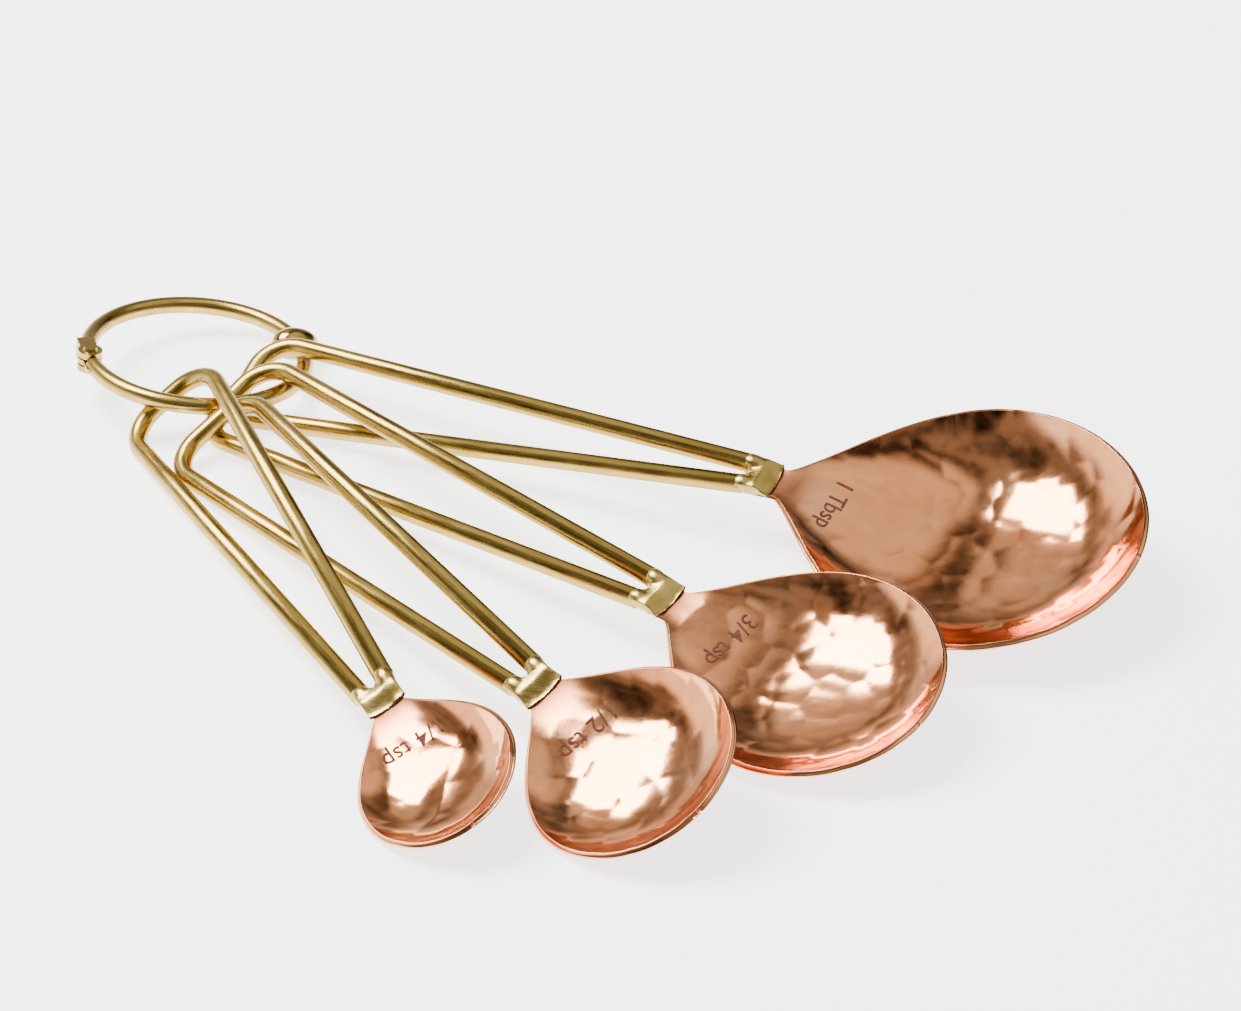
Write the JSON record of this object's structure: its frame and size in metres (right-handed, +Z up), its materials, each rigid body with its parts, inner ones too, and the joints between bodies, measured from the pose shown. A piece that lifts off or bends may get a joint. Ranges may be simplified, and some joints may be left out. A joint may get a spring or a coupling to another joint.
{
  "type": "measuring spoon set",
  "caption": "Fan of dished copper measuring spoons with brass wire loop handles, hung on a hinged split ring with a bead clasp.",
  "frame": {"origin": "on the table under the middle of the set's bounding box", "axes": "+X to the right along the fan's longest side, +Y away from the bowls towards the ring, +Z up from the table"},
  "size_m": [0.1774, 0.1574, 0.0202],
  "materials": {
    "copper": "polished, hand hammered",
    "brass": "satin brushed"
  },
  "bodies": {
    "ring_near": {"ring_near_half": "brass"},
    "ring_gate": {"ring_far_half": "brass", "ring_hinge_rivet": "brass", "ring_clasp_bead": "brass"},
    "quarter_teaspoon": {"quarter_teaspoon_bowl": "copper", "quarter_teaspoon_neck_tab": "brass", "quarter_teaspoon_handle_loop": "brass"},
    "half_teaspoon": {"half_teaspoon_bowl": "copper", "half_teaspoon_neck_tab": "brass", "half_teaspoon_handle_loop": "brass"},
    "three_quarter_teaspoon": {"three_quarter_teaspoon_bowl": "copper", "three_quarter_teaspoon_neck_tab": "brass", "three_quarter_teaspoon_handle_loop": "brass"},
    "tablespoon": {"tablespoon_bowl": "copper", "tablespoon_neck_tab": "brass", "tablespoon_handle_loop": "brass"}
  },
  "joints": [
    {"name": "half_teaspoon_slide", "type": "hinge", "parent": "ring_near", "child": "half_teaspoon", "pos_m": [-0.06796, 0.05842, 0.00614], "axis": [0, 0, 1], "range_deg": [-10, 0]},
    {"name": "quarter_teaspoon_slide", "type": "hinge", "parent": "half_teaspoon", "child": "quarter_teaspoon", "pos_m": [-0.06796, 0.05842, 0.00614], "axis": [0, 0, 1], "range_deg": [-12, 0]},
    {"name": "three_quarter_teaspoon_slide", "type": "hinge", "parent": "ring_near", "child": "three_quarter_teaspoon", "pos_m": [-0.06796, 0.05842, 0.00614], "axis": [0, 0, 1], "range_deg": [0, 4]},
    {"name": "tablespoon_slide", "type": "hinge", "parent": "three_quarter_teaspoon", "child": "tablespoon", "pos_m": [-0.06796, 0.05842, 0.00614], "axis": [0, 0, 1], "range_deg": [0, 4]},
    {"name": "ring_gate_hinge", "type": "hinge", "parent": "ring_near", "child": "ring_gate", "pos_m": [-0.08566, 0.05262, 0.00867], "axis": [0.1216, 0.061, 0.9907], "range_deg": [0, 60]}
  ]
}
